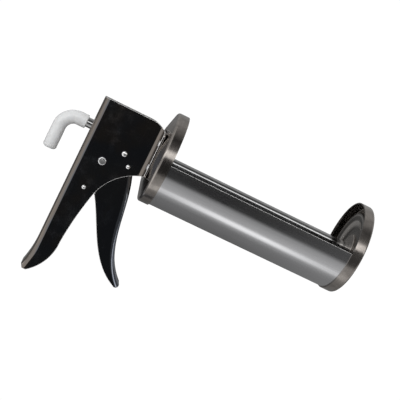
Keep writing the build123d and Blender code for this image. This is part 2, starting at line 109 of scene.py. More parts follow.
# The sleeve's skin: rings along each stretch, and the slow swells of its dipping. Each swell is
# (radians per metre, start, share).
SLEEVE_SIDES = 48
SLEEVE_END_RINGS = 9
SLEEVE_BODY_RINGS = 60
SLEEVE_LIP_RINGS = 6
SLEEVE_BORE_RINGS = 39
SLEEVE_SWELLS = ((420.0, 0.0, 0.4), (1130.0, 1.0, 0.25))

# The studio's light by degrees round the barrel's axis: 0 is the front, 90 below and -90 above.
BAND_FULL = 2.0
LIGHT_BANDS = (
    (-180, 0.12),
    (-165, 0.30),
    (-150, 0.42),
    (-105, 0.46),
    (-80, 0.25),
    (-58, 0.03),
    (-38, 0.14),
    (-29, 0.35),
    (-25, 1.90),
    (-12, 1.90),
    (-9, 0.03),
    (31, 0.03),
    (38, 0.42),
    (60, 0.62),
    (66, 0.80),
    (74, 0.80),
    (82, 0.44),
    (95, 0.26),
    (146, 0.17),
    (158, 0.14),
    (170, 0.13),
    (180, 0.12),
)

# Where along the barrel's direction each extra light comes in and fades out, as shares of a unit vector.
FACING = (-0.2, 0.5)
FAR_SIDE_SHARE = 0.12
REAR_FADE = (0.0, 0.20)
FRONT_FADE = (0.18, 0.36)
STRIP_IN = (0.08, 0.19)
STRIP_OUT = (0.225, 0.31)
STRIP_DEGREES_IN = (61, 67)
STRIP_DEGREES_OUT = (73, 81)

DOME_RADIUS = 12.0
PAPER_TONE = 0.02
PAPER_GLOW = 1.0
KEY_PLACE = (-0.75, -0.9, 0.9)
KEY_AIM = (-0.2, 0.0, 0.0)
KEY_SIZE = (0.9, 0.7)
CAMERA_CLIP = (0.01, 100.0)
SENSOR_WIDTH = 36.0


# ---- settings -------------------------------------------------------------------------------------------
class GunFinishes(bpy.types.PropertyGroup):
    """Colours of the gun's finishes."""

    mirror: bpy.props.FloatVectorProperty(
        name="Mirror plate",
        description="Colour of the polished plating on the handle and trigger",
        subtype="COLOR",
        default=(0.192, 0.195, 0.202),
        min=0.0,
        max=1.0,
    )
    # Buffed sheet edges get a near-white colour, which paints in the bright highlight along each edge.
    sheet_edge_highlight: bpy.props.FloatVectorProperty(
        name="Sheet edge",
        description="Colour of the buffed edges of the sheet",
        subtype="COLOR",
        default=(0.92, 0.91, 0.90),
        min=0.0,
        max=1.0,
    )
    # The handle's bends get a lighter, warmer colour: a painted sheen of the bends.
    fold_sheen: bpy.props.FloatVectorProperty(
        name="Folds",
        description="Colour of the plating along the handle's bends",
        subtype="COLOR",
        default=(0.31, 0.265, 0.225),
        min=0.0,
        max=1.0,
    )
    satin: bpy.props.FloatVectorProperty(
        name="Satin steel",
        description="Colour of the cradle's brushed steel and the plain spacers",
        subtype="COLOR",
        default=(0.52, 0.52, 0.53),
        min=0.0,
        max=1.0,
    )
    pressing: bpy.props.FloatVectorProperty(
        name="Pressed caps",
        description="Colour of the two caps and the piston's washer",
        subtype="COLOR",
        default=(0.37, 0.34, 0.315),
        min=0.0,
        max=1.0,
    )
    piston: bpy.props.FloatVectorProperty(
        name="Piston",
        description="Colour of the piston's oiled steel",
        subtype="COLOR",
        default=(0.22, 0.21, 0.20),
        min=0.0,
        max=1.0,
    )
    bright: bpy.props.FloatVectorProperty(
        name="Bright rivets",
        description="Colour of the plated rivets and the rod's retainer",
        subtype="COLOR",
        default=(0.78, 0.78, 0.78),
        min=0.0,
        max=1.0,
    )
    bar: bpy.props.FloatVectorProperty(
        name="Drawn bar",
        description="Colour of the rod",
        subtype="COLOR",
        default=(0.50, 0.50, 0.50),
        min=0.0,
        max=1.0,
    )
    hardened: bpy.props.FloatVectorProperty(
        name="Hardened steel",
        description="Colour of the pawls and springs",
        subtype="COLOR",
        default=(0.21, 0.21, 0.23),
        min=0.0,
        max=1.0,
    )
    brass: bpy.props.FloatVectorProperty(
        name="Brass",
        description="Colour of the turned bushes",
        subtype="COLOR",
        default=(0.72, 0.53, 0.25),
        min=0.0,
        max=1.0,
    )
    vinyl: bpy.props.FloatVectorProperty(
        name="Vinyl sleeve",
        description="Colour of the soft sleeve on the hook",
        subtype="COLOR",
        default=(0.64, 0.645, 0.65),
        min=0.0,
        max=1.0,
    )


class GunSizes(bpy.types.PropertyGroup):
    """Small sizes that the looks add to the frame."""

    edge_round: bpy.props.FloatProperty(
        name="Edge rounding",
        description="Rounding of the buffed sheet edges",
        unit="LENGTH",
        default=0.35 * MM,
        min=0.05 * MM,
        max=0.7 * MM,
    )
    cradle_edge: bpy.props.FloatProperty(
        name="Cradle edge rounding",
        description="Rounding of the cradle's thinner sheet edges",
        unit="LENGTH",
        default=0.25 * MM,
        min=0.05 * MM,
        max=0.4 * MM,
    )
    sleeve_round: bpy.props.FloatProperty(
        name="Sleeve end rounding",
        description="Rounding of the sleeve's closed end",
        unit="LENGTH",
        default=2.8 * MM,
        min=1.0 * MM,
        max=5.0 * MM,
    )
    sleeve_lip: bpy.props.FloatProperty(
        name="Sleeve lip",
        description="Rounding of the sleeve's open rim",
        unit="LENGTH",
        default=0.5 * MM,
        min=0.1 * MM,
        max=0.8 * MM,
    )
    sleeve_ripple: bpy.props.FloatProperty(
        name="Sleeve ripple",
        description="Depth of the sleeve's uneven dipping",
        unit="LENGTH",
        default=0.10 * MM,
        min=0.0,
        max=0.4 * MM,
    )
    sleeve_end_wall: bpy.props.FloatProperty(
        name="Sleeve end wall",
        description="Thickness of the sleeve's closed end",
        unit="LENGTH",
        default=2.0 * MM,
        min=1.0 * MM,
        max=4.0 * MM,
    )
    rivet_head: bpy.props.FloatProperty(
        name="Rivet head height",
        description="Height of the domed rivet heads",
        unit="LENGTH",
        default=0.9 * MM,
        min=0.3 * MM,
        max=2.0 * MM,
    )
    rivet_shank: bpy.props.FloatProperty(
        name="Rivet shank",
        description="Radius of the domed rivets' shanks",
        unit="LENGTH",
        default=1.3 * MM,
        min=0.5 * MM,
        max=2.0 * MM,
    )
    flange_rivet_shank: bpy.props.FloatProperty(
        name="Flange rivet shank",
        description="Radius of the flange rivets' shanks",
        unit="LENGTH",
        default=1.5 * MM,
        min=0.5 * MM,
        max=2.2 * MM,
    )
    stop_pawl_rivet_shank: bpy.props.FloatProperty(
        name="Stop pawl rivet shank",
        description="Radius of the shank that the stop pawl turns on",
        unit="LENGTH",
        default=1.6 * MM,
        min=0.5 * MM,
        max=2.1 * MM,
    )
    hook_bend: bpy.props.FloatProperty(
        name="Hook bend",
        description="Bend radius of the hook on the rod's centre line",
        unit="LENGTH",
        default=12.0 * MM,
        min=6.0 * MM,
        max=20.0 * MM,
    )


class StudioSettings(bpy.types.PropertyGroup):
    """Where the camera stands and how the studio is lit."""

    azimuth: bpy.props.FloatProperty(
        name="Azimuth",
        description="Heading of the camera from straight along +Y, turning towards +X",
        subtype="ANGLE",
        default=math.radians(8.55),
    )
    elevation: bpy.props.FloatProperty(
        name="Elevation",
        description="How far the camera looks down",
        subtype="ANGLE",
        default=math.radians(5.0),
    )
    roll: bpy.props.FloatProperty(
        name="Roll",
        description="How far the camera is rolled, so that the barrel slopes down to the right",
        subtype="ANGLE",
        default=math.radians(26.47),
    )
    distance: bpy.props.FloatProperty(
        name="Distance",
        description="From the camera to the point it is aimed at",
        unit="LENGTH",
        default=0.745,
    )
    aim: bpy.props.FloatVectorProperty(
        name="Aim",
        description="Point that the camera is aimed at",
        subtype="TRANSLATION",
        default=(-0.1291, 0.0183, -0.0184),
    )
    lens: bpy.props.FloatProperty(
        name="Lens",
        description="Focal length on a 36 mm wide sensor, in millimetres",
        default=81.8,
    )
    key_power: bpy.props.FloatProperty(
        name="Key light",
        description="Power of the soft key light",
        subtype="POWER",
        unit="POWER",
        default=9.0,
    )
    rear_fill: bpy.props.FloatProperty(
        name="Rear fill",
        description="Light that comes from behind the handle",
        default=0.65,
    )
    front_fill: bpy.props.FloatProperty(
        name="Front fill",
        description="Light that comes from ahead of the front cap",
        default=0.1,
    )
    strip: bpy.props.FloatProperty(
        name="Strip light",
        description="Narrow light below the gun, which draws the highlight along the cradle",
        default=1.0,
    )
    floor_drop: bpy.props.FloatProperty(
        name="Floor drop",
        description="How far the floor lies below the gun",
        unit="LENGTH",
        default=0.35,
    )


# ---- shader writing ---------------------------------------------------------------------------------------
class Wire:
    """An output socket that takes part in arithmetic."""

    def __init__(self, finish, socket):
        self.finish = finish
        self.socket = socket

    def _math(self, operation, first, second):
        return self.finish.node("ShaderNodeMath", {"operation": operation}, {0: first, 1: second})

    def __add__(self, other):
        return self._math("ADD", self, other)

    def __radd__(self, other):
        return self._math("ADD", other, self)

    def __sub__(self, other):
        return self._math("SUBTRACT", self, other)

    def __rsub__(self, other):
        return self._math("SUBTRACT", other, self)

    def __mul__(self, other):
        return self._math("MULTIPLY", self, other)

    def __rmul__(self, other):
        return self._math("MULTIPLY", other, self)

    def __pow__(self, other):
        return self._math("POWER", self, other)


class Finish:
    """A material, or a world, under construction."""

    def __init__(self, name, store=None):
        self.material = (bpy.data.materials if store is None else store).new(name)
        self.material.use_nodes = True
        self.tree = self.material.node_tree
        self.tree.nodes.clear()

    def node(self, kind, settings=None, sockets=None, output=0):
        """Make one node: its settings first, then the values or wires of its sockets."""
        made = self.tree.nodes.new(kind)
        for key, value in (settings or {}).items():
            if key == "stops":
                self._fill_ramp(made.color_ramp, value)
            else:
                setattr(made, key, value)
        for key, value in (sockets or {}).items():
            if isinstance(value, Wire):
                self.tree.links.new(value.socket, made.inputs[key])
            else:
                made.inputs[key].default_value = value
        return Wire(self, made.outputs[output])

    @staticmethod
    def _fill_ramp(ramp, stops):
        for _ in range(len(stops) - 2):
            ramp.elements.new(0.5)
        for element, (position, value) in zip(ramp.elements, stops):
            element.position = position
            element.color = (value, value, value, 1.0)

    def place(self):
        """Object coordinates, in metres."""
        return self.node("ShaderNodeTexCoord", output=3)

    def stretched(self, scale):
        """Object coordinates scaled along each axis."""
        sockets = {"Vector": self.place(), "Scale": scale}
        return self.node("ShaderNodeMapping", {"vector_type": "POINT"}, sockets)

    def noise(self, vector, scale, detail=3.0, rough=0.5, dimensions="3D"):
        settings = {"noise_dimensions": dimensions}
        sockets = {"Vector": vector, "Scale": scale, "Detail": detail, "Roughness": rough}
        return self.node("ShaderNodeTexNoise", settings, sockets)

    def ramp(self, value, *stops):
        return self.node("ShaderNodeValToRGB", {"stops": stops}, {"Fac": value})

    def blend(self, low, high, factor):
        """Colour mixed from low to high by factor."""
        colours = [tuple(c) + (1.0,) if not isinstance(c, Wire) else c for c in (low, high)]
        sockets = {0: factor, 6: colours[0], 7: colours[1]}
        return self.node("ShaderNodeMix", {"data_type": "RGBA"}, sockets, output=2)

    def turned(self):
        """Coordinates (distance from the X axis, along X, 0) for marks that run round the barrel axis."""
        x, y, z = self.parts(self.place())
        radius = (y * y + z * z) ** 0.5
        return self.node("ShaderNodeCombineXYZ", None, {0: radius, 1: x, 2: 0.0})

    def surface(self, colour, roughness, metallic=1.0, height=None, relief=0.0, **constants):
        """Close the material with one shader. Only varying values arrive by wire."""
        sockets = {"Base Color": colour, "Roughness": roughness, "Metallic": metallic}
        if not isinstance(colour, Wire):
            sockets["Base Color"] = tuple(colour) + (1.0,)
        if height is not None:
            bump = {"Strength": 1.0, "Distance": relief, "Height": height}
            sockets["Normal"] = self.node("ShaderNodeBump", None, bump)
        sockets.update(constants)
        shader = self.node("ShaderNodeBsdfPrincipled", None, sockets)
        self.node_output(shader)
        return self.material

    def node_output(self, shader, kind="ShaderNodeOutputMaterial"):
        output = self.tree.nodes.new(kind)
        self.tree.links.new(shader.socket, output.inputs["Surface"])

    def parts(self, vector):
        """The three numbers of a vector."""
        split = self.tree.nodes.new("ShaderNodeSeparateXYZ")
        self.tree.links.new(vector.socket, split.inputs[0])
        return [Wire(self, split.outputs[i]) for i in range(3)]

    def step(self, value, low, high):
        """Smooth step from 0 to 1 as value goes from low to high."""
        settings = {"interpolation_type": "SMOOTHSTEP"}
        return self.node("ShaderNodeMapRange", settings, {0: value, 1: low, 2: high, 3: 0.0, 4: 1.0})


def darker(colour, share):
    """The colour scaled by share, so above 1 it is lighter."""
    return tuple(c * share for c in colour)


def mirror_plate(name, tint, edge_highlight_tint, fold_sheen_tint, flat_from, flat_to):
    """Dark plating, buffed to a mirror: haze, wipe marks, edges lightened to a near-white colour as a painted
    highlight, and bends given a lighter warm colour as a painted sheen.
    """
    f = Finish(name)
    x = f.parts(f.place())[0]
    fold_sheen_mask = 1.0 - f.step(x, flat_from - FOLD_FADE, flat_from) * f.step(x, flat_to + FOLD_FADE, flat_to)
    edge = f.node("ShaderNodeAttribute", {"attribute_name": "rounded"}, output=2)
    drift = f.ramp(f.noise(f.place(), 26.0, 2.0, 0.45), (0.38, 0.0), (0.66, 1.0))
    bloom = f.ramp(f.noise(f.stretched((31.0, 31.0, 24.0)), 1.7, 2.0, 0.5), (0.50, 0.0), (0.72, 1.0))
    smudge = f.ramp(f.noise(f.place(), 95.0, 5.0, 0.65), (0.50, 0.0), (0.74, 1.0))
    wipes = f.noise(f.stretched((260.0, 900.0, 34.0)), 1.0, 3.0, 0.6)
    orange_peel = f.noise(f.place(), 420.0, 2.0)
    cold = (tint[0] * 0.92, tint[1] * 0.98, tint[2] * 1.10)
    warm = (tint[0] * 1.40, tint[1] * 1.12, tint[2] * 0.88)
    flat = f.blend(f.blend(cold, tint, drift), warm, bloom * 0.55)
    # Painted sheen: along the bends the plate turns to the lighter, warmer colour of the bends.
    plate = f.blend(flat, fold_sheen_tint, fold_sheen_mask * (0.55 + 0.45 * wipes))
    # Painted highlight: the rounded edges blend to the near-white edge colour.
    colour = f.blend(plate, edge_highlight_tint, edge * (0.80 + 0.20 * wipes))
    roughness = 0.045 + 0.035 * drift + 0.10 * smudge + 0.04 * wipes + 0.26 * edge
    height = (wipes * 0.35 + orange_peel * 0.65) * (1.0 - edge)
    return f.surface(colour, roughness, height=height, relief=0.010 * MM)


def satin_sheet(name, tint, edge_highlight_tint):
    """Sheet brushed along the barrel, with faint rolling shade, a few deeper scratches and buffed edges
    lightened to a near-white colour as a painted highlight.
    """
    f = Finish(name)
    edge = f.node("ShaderNodeAttribute", {"attribute_name": "rounded"}, output=2)
    grain = f.noise(f.stretched((26.0, 1500.0, 1500.0)), 1.0, 4.0, 0.62)
    coarse = f.noise(f.stretched((7.0, 260.0, 260.0)), 1.0, 3.0, 0.55)
    clouds = f.noise(f.place(), 22.0, 3.0, 0.5)
    marks = f.noise(f.stretched((60.0, 700.0, 420.0)), 1.0, 2.0, 0.4)
    scratch = f.ramp(marks, (0.66, 0.0), (0.70, 1.0))
    shade = 0.5 * grain + 0.3 * coarse + 0.2 * clouds
    # Painted highlight: the rounded edges blend to the near-white edge colour.
    colour = f.blend(f.blend(darker(tint, 0.80), darker(tint, 1.16), shade), edge_highlight_tint, edge)
    roughness = 0.09 + 0.09 * grain + 0.06 * clouds - 0.03 * scratch + 0.30 * edge
    height = (grain * 0.7 + coarse * 0.3 - scratch * 0.35) * (1.0 - edge)
    return f.surface(colour, roughness, height=height, relief=0.016 * MM)


def turned_pressing(name, tint, roughness_from=0.09, ring_size=900.0, beads=None):
    """Pressing polished while it spins: fine rings round the barrel's axis, stains, and any beads, painted
    lighter where they stand out as a highlight and darker between them as painted shade.
    """
    f = Finish(name)
    rings = f.noise(f.turned(), ring_size, 5.0, 0.7)
    broad = f.noise(f.turned(), ring_size / 7.0, 2.0, 0.5)
    clouds = f.noise(f.place(), 30.0, 4.0, 0.6)
    spots = f.ramp(f.noise(f.place(), 260.0, 3.0, 0.6), (0.60, 0.0), (0.75, 1.0))
    shade = 0.45 * rings + 0.25 * broad + 0.3 * clouds
    patches = f.noise(f.stretched((90.0, 150.0, 150.0)), 1.0, 4.0, 0.65)
    stains = f.ramp(patches, (0.44, 0.0), (0.60, 1.0))
    colour = f.blend(darker(tint, 0.40), darker(tint, 1.50), shade * (0.62 + 0.38 * stains))
    roughness = roughness_from + 0.09 * rings + 0.08 * clouds + 0.10 * spots
    height = rings * 0.75 + broad * 0.25 + spots * 0.2
    if beads:
        # Painted highlight on the standing rings and painted shade in the hollows between them.
        bead_height_and_light = f.ramp(f.parts(f.turned())[0] * (1.0 / PISTON_REACH), *beads)
        lit = f.blend(colour, darker(tint, 3.2), bead_height_and_light * 0.85)
        colour = f.blend(darker(tint, 0.30), lit, 0.25 + 0.75 * bead_height_and_light)
        height = height + 5.0 * bead_height_and_light
    return f.surface(colour, roughness, height=height, relief=0.024 * MM)


def drawn_bar(name, tint):
    """Plated bar with die lines along it and faint rub marks."""
    f = Finish(name)
    lines = f.noise(f.stretched((12.0, 2600.0, 2600.0)), 1.0, 3.0, 0.6)
    rub = f.ramp(f.noise(f.stretched((140.0, 300.0, 300.0)), 1.0, 4.0, 0.6), (0.45, 0.0), (0.7, 1.0))
    plating = f.blend(darker(tint, 0.78), darker(tint, 1.2), 0.5 * lines + 0.5 * rub)
    # The rod's lower part is painted much darker.
    darker_below = f.step(f.parts(f.place())[2], DARK_BELOW_Z, DARK_BELOW_Z - DARK_BELOW_FADE)
    colour = f.blend(plating, darker(tint, 0.18), darker_below)
    roughness = 0.10 + 0.07 * lines + 0.08 * rub
    return f.surface(colour, roughness, height=lines, relief=0.010 * MM)


def small_hardware(name, tint, roughness_from, mottle=320.0, patch=0.25):
    """Tumbled small parts: fine mottled colour, a little dulling in patches."""
    f = Finish(name)
    fine = f.noise(f.place(), mottle * 4.0, 3.0, 0.6)
    patches = f.noise(f.place(), mottle, 3.0, 0.55)
    colour = f.blend(darker(tint, 1.0 - patch), darker(tint, 1.0 + patch), 0.5 * fine + 0.5 * patches)
    roughness = roughness_from + 0.10 * fine + 0.08 * patches
    return f.surface(colour, roughness, height=fine, relief=0.015 * MM)


def soft_vinyl(name, tint):
    """Dipped vinyl: milky, slightly glossy, a little yellowed and dusty in patches."""
    f = Finish(name)
    clouds = f.noise(f.place(), 70.0, 4.0, 0.55)
    dust = f.ramp(f.noise(f.place(), 420.0, 4.0, 0.65), (0.5, 0.0), (0.75, 1.0))
    orange_peel = f.noise(f.place(), 900.0, 2.0, 0.5)
    milky = f.blend(darker(tint, 0.93), darker(tint, 1.07), clouds)
    colour = f.blend(milky, (tint[0] * 0.86, tint[1] * 0.84, tint[2] * 0.80), dust * 0.35)
    roughness = 0.20 + 0.10 * clouds + 0.12 * dust
    height = orange_peel * 0.6 + clouds * 0.4
    soft = {
        "Subsurface Weight": 0.35,
        "Subsurface Radius": (0.004, 0.0038, 0.0036),
        "Subsurface Scale": 1.0,
        "IOR": 1.5,
    }
    return f.surface(colour, roughness, metallic=0.0, height=height, relief=0.030 * MM, **soft)


def studio_white(name, value, glow):
    """Matt studio paper with a little light of its own."""
    f = Finish(name)
    tooth = f.noise(f.place(), 40.0, 3.0, 0.5)
    colour = f.blend((value * 0.99,) * 3, (value,) * 3, tooth)
    white = {"Emission Color": (1.0, 1.0, 1.0, 1.0), "Emission Strength": glow}
    return f.surface(colour, 0.9, metallic=0.0, **white)


# ---- mesh helpers -----------------------------------------------------------------------------------------
def settings():
    """The three groups of settings that the panel shows."""
    return bpy.context.scene.gun_finishes, bpy.context.scene.gun_sizes, bpy.context.scene.gun_studio


def coat(node, material):
    """Give a CAD node a finish."""
    slots = NODES[node].material_slots
    for entry in slots:
        entry.material = material
    if not slots:
        NODES[node].data.materials.append(material)


def new_piece(name, mesh, node, material):
    """Link a finished mesh as a piece that stands for a CAD node and moves with it."""
    piece = bpy.data.objects.new(name, mesh)
    bpy.context.scene.collection.objects.link(piece)
    mesh.materials.clear()
    mesh.materials.append(material)
    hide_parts(node)
    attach(piece, BODY_OF[node])
    return piece


def buffed_copy(node, name, material, width):
    """Copy a sheet-metal node with its sharp edges rounded over, and mark the rounded faces."""
    work = bmesh.new()
    work.from_mesh(NODES[node].data)
    bmesh.ops.remove_doubles(work, verts=work.verts, dist=WELD)
    bmesh.ops.dissolve_limit(
        work,
        angle_limit=FLAT_ANGLE,
        verts=work.verts,
        edges=work.edges,
    )
    marked = work.faces.layers.float.new("rounded")
    sharp = [e for e in work.edges if len(e.link_faces) == 2 and e.calc_face_angle() > EDGE_ANGLE]
    rounded = bmesh.ops.bevel(
        work,
        geom=sharp,
        offset=width,
        offset_type="OFFSET",
        segments=EDGE_STEPS,
        profile=0.5,
        affect="EDGES",
        clamp_overlap=False,
    )
    for face in rounded["faces"]:
        face[marked] = 1.0
    mesh = bpy.data.meshes.new(name)
    work.to_mesh(mesh)
    work.free()
    if "custom_normal" in mesh.attributes:
        mesh.attributes.remove(mesh.attributes["custom_normal"])
    mesh.shade_smooth()
    mesh.set_sharp_from_angle(angle=SHADE_ANGLE)
    return new_piece(name, weighted(mesh), node, material)


def weighted(mesh):
    """The mesh with normals that follow its large faces, so that flat sheet stays flat up to its edges."""
    holder = bpy.data.objects.new(mesh.name, mesh)
    bpy.context.scene.collection.objects.link(holder)
    level = holder.modifiers.new("level", "WEIGHTED_NORMAL")
    level.mode = "FACE_AREA"
    level.weight = 100
    level.keep_sharp = True
    evaluated = holder.evaluated_get(bpy.context.evaluated_depsgraph_get())
    finished = bpy.data.meshes.new_from_object(evaluated)
    finished.name = mesh.name
    bpy.data.objects.remove(holder)
    return finished


def ring_skin(name, rings, place, sides):
    """A closed skin through rings, each (run along the path, radius), with a pole at both ends."""
    work = bmesh.new()
    across = Vector((0.0, 1.0, 0.0))
    loops = []
    for run, radius in rings:
        centre, out = place(run)
        turns = [2 * math.pi * side / sides for side in range(sides)]
        spokes = [out * math.cos(turn) + across * math.sin(turn) for turn in turns]
        loops.append([work.verts.new(centre + radius * spoke) for spoke in spokes])
    for first, second in zip(loops, loops[1:]):
        for side in range(sides):
            after = (side + 1) % sides
            work.faces.new((first[side], first[after], second[after], second[side]))
    for loop in (loops[0], loops[-1]):
        pole = work.verts.new(sum((v.co for v in loop), Vector()) / sides)
        for side in range(sides):
            work.faces.new((pole, loop[side], loop[(side + 1) % sides]))
    bmesh.ops.recalc_face_normals(work, faces=work.faces)
    mesh = bpy.data.meshes.new(name)
    work.to_mesh(mesh)
    work.free()
    mesh.shade_smooth()
    return mesh


def solids_of(node):
    """The lowest and highest corners of each separate solid in a CAD node."""
    work = bmesh.new()
    work.from_mesh(NODES[node].data)
    bmesh.ops.remove_doubles(work, verts=work.verts, dist=WELD)
    left = set(work.verts)
    boxes = []
    while left:
        reached = [left.pop()]
        members = []
        while reached:
            vert = reached.pop()
            members.append(vert.co.copy())
            for edge in vert.link_edges:
                other = edge.other_vert(vert)
                if other in left:
                    left.remove(other)
                    reached.append(other)
        boxes.append([Vector(pick(corner) for corner in zip(*members)) for pick in (min, max)])
    work.free()
    return boxes


class Growth(Finish):
    """A Geometry Nodes tree under construction, with named inputs."""

    def __init__(self, name, inputs):
        self.tree = bpy.data.node_groups.new(name, "GeometryNodeTree")
        self.tree.interface.new_socket("Geometry", in_out="OUTPUT", socket_type="NodeSocketGeometry")
        self.tree.interface.new_socket("Geometry", in_out="INPUT", socket_type="NodeSocketGeometry")
        for label, kind in inputs:
            self.tree.interface.new_socket(label, in_out="INPUT", socket_type=f"NodeSocket{kind}")
        entry = self.tree.nodes.new("NodeGroupInput")
        self.given = {socket.name: Wire(self, socket) for socket in entry.outputs if socket.name}

    def finish(self, geometry):
        """End the tree in Realize Instances and Set Material."""
        real = self.node("GeometryNodeRealizeInstances", None, {0: geometry})
        sockets = {"Geometry": real, "Material": self.given["Material"]}
        painted = self.node("GeometryNodeSetMaterial", None, sockets)
        output = self.tree.nodes.new("NodeGroupOutput")
        self.tree.links.new(painted.socket, output.inputs[0])

    def grow(self, name, points, **values):
        """Run the tree on loose points and return the plain mesh that it makes."""
        seed = bpy.data.meshes.new(f"{name}_points")
        seed.from_pydata(points, [], [])
        holder = bpy.data.objects.new(name, seed)
        bpy.context.scene.collection.objects.link(holder)
        modifier = holder.modifiers.new("growth", "NODES")
        modifier.node_group = self.tree
        for item in self.tree.interface.items_tree:
            if item.in_out == "INPUT" and item.name in values:
                modifier[item.identifier] = values[item.name]
        evaluated = holder.evaluated_get(bpy.context.evaluated_depsgraph_get())
        mesh = bpy.data.meshes.new_from_object(evaluated)
        mesh.name = name
        holder.modifiers.remove(modifier)
        bpy.data.objects.remove(holder)
        return mesh


def domed_rivet_tree():
    """One rivet with a domed head at each end, along its own Z, set at every point."""
    inputs = (
        ("Head radius", "Float"),
        ("Head height", "Float"),
        ("Shank radius", "Float"),
        ("Grip", "Float"),
        ("Turn", "Vector"),
        ("Material", "Material"),
    )
    g = Growth("domed_rivet", inputs)
    given = g.given
    drum = g.node(
        "GeometryNodeMeshCylinder",
        {"fill_type": "NGON"},
        {"Vertices": 40, "Side Segments": 8, "Radius": given["Head radius"], "Depth": 1.0},
    )
    x, y, z = g.parts(g.node("GeometryNodeInputPosition"))
    rise = (z + 0.5) * DOME_SWEEP
    shrink = g.node("ShaderNodeMath", {"operation": "COSINE"}, {0: rise})
    lift = g.node("ShaderNodeMath", {"operation": "SINE"}, {0: rise}) * (1.0 / math.sin(DOME_SWEEP))
    domed = g.node(
        "ShaderNodeCombineXYZ",
        None,
        {0: x * shrink, 1: y * shrink, 2: lift * given["Head height"] + given["Grip"] * 0.5},
    )
    head = g.node("GeometryNodeSetPosition", None, {"Geometry": drum, "Position": domed})
    tail = g.node("GeometryNodeTransform", None, {"Geometry": head, "Rotation": (math.pi, 0.0, 0.0)})
    shank = g.node(
        "GeometryNodeMeshCylinder",
        {"fill_type": "NGON"},
        {"Vertices": 32, "Radius": given["Shank radius"], "Depth": given["Grip"]},
    )
    whole = g.tree.nodes.new("GeometryNodeJoinGeometry")
    for piece in (head, tail, shank):
        g.tree.links.new(piece.socket, whole.inputs[0])
    placed = g.node(
        "GeometryNodeInstanceOnPoints",
        None,
        {"Points": given["Geometry"], "Instance": Wire(g, whole.outputs[0]), "Rotation": given["Turn"]},
    )
    g.finish(placed)
    return g


# ---- pieces -----------------------------------------------------------------------------------------------
class GUN_OT_handle(bpy.types.Operator):
    """Buff the pressed handle frame"""

    bl_idname = "gun.handle"
    bl_label = "Handle frame"

    def execute(self, context):
        finishes, sizes, _ = settings()
        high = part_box("handle_frame")[1]
        flat = (high[0] - HANDLE_DEPTH + HANDLE_FOLD, high[0] - FLANGE_FOLD)
        plate = mirror_plate("handle_mirror", finishes.mirror, finishes.sheet_edge_highlight, finishes.fold_sheen, *flat)
        buffed_copy("handle_frame", "handle_shell", plate, sizes.edge_round)
        return {"FINISHED"}


class GUN_OT_trigger(bpy.types.Operator):
    """Buff the pressed trigger"""

    bl_idname = "gun.trigger"
    bl_label = "Trigger"

    def execute(self, context):
        finishes, sizes, _ = settings()
        low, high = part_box("trigger")
        flat = (low[0], high[0])
        plate = mirror_plate("trigger_mirror", finishes.mirror, finishes.sheet_edge_highlight, finishes.fold_sheen, *flat)
        buffed_copy("trigger", "trigger_shell", plate, sizes.edge_round)
        return {"FINISHED"}


class GUN_OT_barrel(bpy.types.Operator):
    """Brush the cradle and polish the two caps"""

    bl_idname = "gun.barrel"
    bl_label = "Cradle and caps"

    def execute(self, context):
        finishes, sizes, _ = settings()
        satin = satin_sheet("cradle_satin", finishes.satin, finishes.sheet_edge_highlight)
        buffed_copy("cradle", "cradle_sheet", satin, sizes.cradle_edge)
        for node in ("front_cap", "rear_cap"):
            coat(node, turned_pressing(f"{node}_polish", finishes.pressing))
        return {"FINISHED"}


class GUN_OT_piston(bpy.types.Operator):
    """Finish the piston plate and its washer"""

    bl_idname = "gun.piston"
    bl_label = "Piston"

    def execute(self, context):
        finishes, _, _ = settings()
        coat("piston_plate", turned_pressing("piston_polish", finishes.piston, 0.16, 700.0, PISTON_BEADS_AND_LIGHT))
        coat("piston_hub_washer", turned_pressing("hub_polish", finishes.pressing, 0.2, 1100.0))
        coat("rod_retainer", turned_pressing("retainer_polish", finishes.bright, 0.24, 1100.0))
        return {"FINISHED"}


class GUN_OT_rod(bpy.types.Operator):
    """Finish the ratchet rod"""

    bl_idname = "gun.rod"
    bl_label = "Ratchet rod"

    def execute(self, context):
        finishes, _, _ = settings()
        coat("ratchet_rod", drawn_bar("rod_bar", finishes.bar))
        return {"FINISHED"}


class GUN_OT_rivets(bpy.types.Operator):
    """Set the domed rivets through the handle and the flanges, and plate the hollow pivot rivet"""

    bl_idname = "gun.rivets"
    bl_label = "Rivets"

    def execute(self, context):
        finishes, sizes, _ = settings()
        bright = small_hardware("rivet_plating", finishes.bright, 0.14, 260.0, 0.12)
        coat("trigger_pivot_rivet", bright)
        rivet = domed_rivet_tree()
        jobs = (
            ("flange_rivets", "flange_rivet_set", 0, ALONG_X, sizes.flange_rivet_shank),
            ("stop_pawl_rivet", "stop_pawl_rivet_domed", 1, ALONG_Y, sizes.stop_pawl_rivet_shank),
            ("trigger_stop_rivet", "trigger_stop_rivet_domed", 1, ALONG_Y, sizes.rivet_shank),
            ("grip_spacer_rivet", "grip_spacer_rivet_domed", 1, ALONG_Y, sizes.rivet_shank),
        )
        for node, name, axis, turn, shank in jobs:
            boxes = solids_of(node)
            low, high = boxes[0]
            side = (high[2] - low[2]) / 2
            values = {
                "Head radius": side,
                "Head height": sizes.rivet_head,
                "Shank radius": shank,
                "Grip": high[axis] - low[axis] - 2 * sizes.rivet_head,
                "Turn": turn,
                "Material": bright,
            }
            mesh = rivet.grow(name, [(box[0] + box[1]) / 2 for box in boxes], **values)
            mesh.shade_smooth()
            mesh.set_sharp_from_angle(angle=SHADE_ANGLE)
            new_piece(name, mesh, node, bright)
        return {"FINISHED"}


